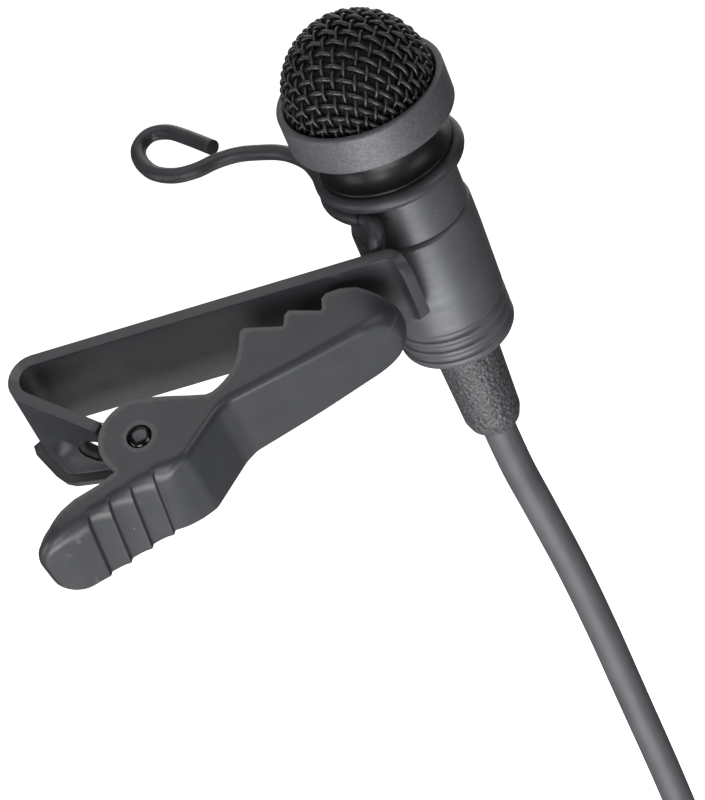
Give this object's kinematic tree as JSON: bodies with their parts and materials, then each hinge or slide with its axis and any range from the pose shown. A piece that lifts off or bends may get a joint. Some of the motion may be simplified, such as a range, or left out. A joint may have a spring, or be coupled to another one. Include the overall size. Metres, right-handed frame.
{
  "type": "lavalier microphone",
  "caption": "Clip-on lavalier microphone with a woven wire dome, a spring garment clip that carries it in a wire ring, and a coiled lead ending in a screw-lock jack plug.",
  "frame": {"origin": "grip point, midway between the two jaws where a garment's edge is pinched", "axes": "+Z along the microphone's barrel towards the dome, +X from the clip's thumb end towards the barrel, +Y away from the side that the jaws' teeth face"},
  "size_m": [0.0376, 0.0285, 0.1577],
  "materials": {
    "mesh": "semi-gloss black wire",
    "foam": "open foam",
    "collar": "fine blasted black anodised",
    "bare_metal": "plain",
    "rubber": "grained",
    "copper": "plain",
    "board": "solder mask",
    "neck": "gloss black",
    "barrel": "satin dark grey anodised",
    "cable": "smooth satin dark grey",
    "tie": "hook and loop",
    "plug_metal": "nickel plated",
    "insulator": "matt",
    "clip": "satin black coated steel",
    "wire": "satin black coated spring wire"
  },
  "bodies": {
    "clip": {"fixed_jaw": "clip", "pivot_rivet": "clip", "torsion_spring": "bare_metal", "wire_holder": "wire"},
    "lever": {"lever_jaw": "clip"},
    "microphone": {"mesh_dome": "mesh", "foam_liner": "foam", "cap_collar": "collar", "capsule": "bare_metal", "capsule_gasket": "rubber", "capsule_leads": "copper", "circuit_board": "board", "neck": "neck", "barrel": "barrel", "rear_body": "barrel", "cable_ferrule": "bare_metal", "strain_relief": "rubber", "cable": "cable", "cable_coil": "cable", "coil_tie": "tie", "cable_end": "cable", "plug_boot": "rubber", "plug_shell": "barrel", "plug_sleeve": "plug_metal", "plug_ring": "plug_metal", "plug_tip": "plug_metal", "plug_insulators": "insulator"},
    "lock": {"locking_collar": "plug_metal"}
  },
  "joints": [
    {"name": "lever_hinge", "type": "hinge", "parent": "clip", "child": "lever", "pos_m": [-0.0137, -0.00462, -0.00168], "axis": [0, 0.342, -0.9397], "range_deg": [0, 40], "stiffness_Nm_per_rad": 0.02, "springref_deg": -57.3, "deforming": ["torsion_spring"]},
    {"name": "mic_swivel", "type": "hinge", "parent": "clip", "child": "microphone", "pos_m": [0.0058, 0.0052, 0.005], "axis": [0, 0, 1], "continuous": true},
    {"name": "collar_spin", "type": "hinge", "parent": "microphone", "child": "lock", "pos_m": [-0.0016, 0.0117, -0.128], "axis": [0, 0, -1], "continuous": true}
  ]
}
